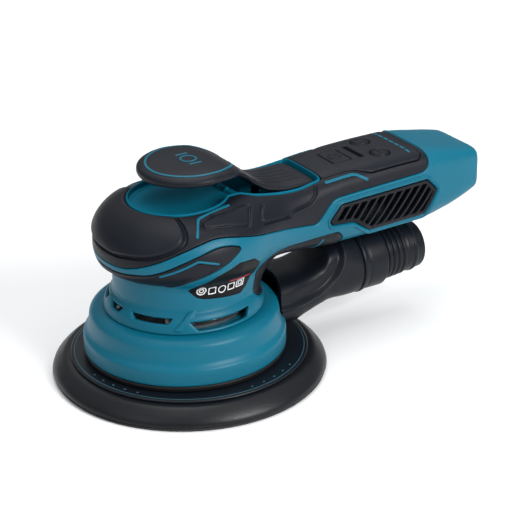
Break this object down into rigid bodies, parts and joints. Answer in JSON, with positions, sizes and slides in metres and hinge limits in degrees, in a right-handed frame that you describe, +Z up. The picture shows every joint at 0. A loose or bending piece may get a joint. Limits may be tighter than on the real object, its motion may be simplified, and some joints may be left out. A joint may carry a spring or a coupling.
{
  "type": "random orbital sander",
  "caption": "Electric random-orbital sander with a long handle, a paddle switch over the head, a round foam backing pad and a dust outlet that swivels.",
  "frame": {"origin": "where the motor's axis meets the abrasive face of the pad; the pad's own axis stands 2.5 mm behind it", "axes": "+X to the rear of the handle, +Z up away from the abrasive face, +Y across the handle, completing a right-handed frame"},
  "size_m": [0.2535, 0.1494, 0.1209],
  "materials": {
    "loop_fabric": "napped loop",
    "pad_foam": "skinned polyurethane foam",
    "pad_plate": "semi-gloss moulded",
    "steel": "ground",
    "bearing_steel": "polished",
    "fan_plastic": "moulded, pale grey",
    "laminated_steel": "laminated",
    "magnet": "nickel plated",
    "cast_aluminium": "as cast",
    "copper": "enamelled copper wire",
    "black_plastic": "semi-gloss moulded",
    "teal_plastic": "satin moulded",
    "seal_rubber": "matte",
    "black_grip": "fine grained, matte",
    "panel_plastic": "fine textured",
    "light_lens": "frosted lens",
    "circuit_board": "lacquered",
    "capacitor_sleeve": "shrink sleeve",
    "screw_steel": "black zinc",
    "label_black": "smooth"
  },
  "bodies": {
    "housing": {"bearing_plate": "cast_aluminium", "lower_bearing_balls": "bearing_steel", "lower_bearing_outer": "bearing_steel", "upper_bearing_balls": "bearing_steel", "upper_bearing_outer": "bearing_steel", "stator_core": "laminated_steel", "winding_lower": "copper", "winding_upper": "copper", "motor_sleeve": "cast_aluminium", "end_bell": "cast_aluminium", "dust_duct": "black_plastic", "shroud": "teal_plastic", "brake_seal": "seal_rubber", "main_housing": "teal_plastic", "head_grip": "black_grip", "control_panel": "panel_plastic", "under_grip": "black_grip", "lower_band": "black_grip", "grille_left": "black_plastic", "grille_right": "black_plastic", "paddle_tray": "teal_plastic", "paddle_pin": "steel", "paddle_spring": "steel", "status_light": "light_lens", "control_board": "circuit_board", "power_module": "cast_aluminium", "capacitor_left": "capacitor_sleeve", "capacitor_right": "capacitor_sleeve", "paddle_switch": "black_plastic", "power_inlet": "black_plastic", "handle_screw_front": "screw_steel", "handle_screw_rear": "screw_steel", "shroud_screw_1": "screw_steel", "shroud_screw_2": "screw_steel", "shroud_screw_3": "screw_steel", "duct_collar": "black_plastic", "rating_plate": "label_black"},
    "pad": {"loop_face": "loop_fabric", "pad_foam": "pad_foam", "backing_plate": "pad_plate", "pad_stud": "steel", "pad_spindle": "steel", "pad_bearing_inner": "bearing_steel"},
    "rotor": {"pad_bearing_balls": "bearing_steel", "pad_bearing_outer": "bearing_steel", "counterweight": "steel", "dust_fan": "fan_plastic", "motor_shaft": "steel", "lower_bearing_inner": "bearing_steel", "upper_bearing_inner": "bearing_steel", "cooling_fan": "fan_plastic", "rotor_core": "laminated_steel", "rotor_magnet": "magnet"},
    "paddle": {"paddle": "black_grip"},
    "plunger": {"switch_plunger": "panel_plastic"},
    "power_button": {"power_button": "panel_plastic"},
    "speed_up_button": {"speed_up_button": "panel_plastic"},
    "speed_down_button": {"speed_down_button": "panel_plastic"},
    "nozzle": {"nozzle": "black_plastic"}
  },
  "joints": [
    {"name": "rotor_spin", "type": "hinge", "parent": "housing", "child": "rotor", "pos_m": [0, 0, 0.06], "axis": [0, 0, 1], "continuous": true},
    {"name": "pad_spin", "type": "hinge", "parent": "rotor", "child": "pad", "pos_m": [0.0025, 0, 0.028], "axis": [0, 0, 1], "continuous": true},
    {"name": "paddle_press", "type": "hinge", "parent": "housing", "child": "paddle", "pos_m": [0.066, 0, 0.0915], "axis": [0, -1, 0], "range_deg": [0, 7], "stiffness_Nm_per_rad": 0.6, "springref_deg": -20.05},
    {"name": "plunger_press", "type": "slide", "parent": "housing", "child": "plunger", "axis": [0, 0, -1], "range_m": [0, 0.0026]},
    {"name": "power_button_press", "type": "slide", "parent": "housing", "child": "power_button", "axis": [0, 0, -1], "range_m": [0, 0.0008], "stiffness_N_per_m": 400, "springref_m": -0.0015},
    {"name": "speed_up_press", "type": "slide", "parent": "housing", "child": "speed_up_button", "axis": [0, 0, -1], "range_m": [0, 0.0008], "stiffness_N_per_m": 400, "springref_m": -0.0015},
    {"name": "speed_down_press", "type": "slide", "parent": "housing", "child": "speed_down_button", "axis": [0, 0, -1], "range_m": [0, 0.0008], "stiffness_N_per_m": 400, "springref_m": -0.0015},
    {"name": "nozzle_swivel", "type": "hinge", "parent": "housing", "child": "nozzle", "pos_m": [0.124, 0, 0.036], "axis": [1, 0, 0], "continuous": true}
  ],
  "couplings": [
    {"joint": "plunger_press", "follows": "paddle_press", "m_per_rad": 0.02}
  ]
}
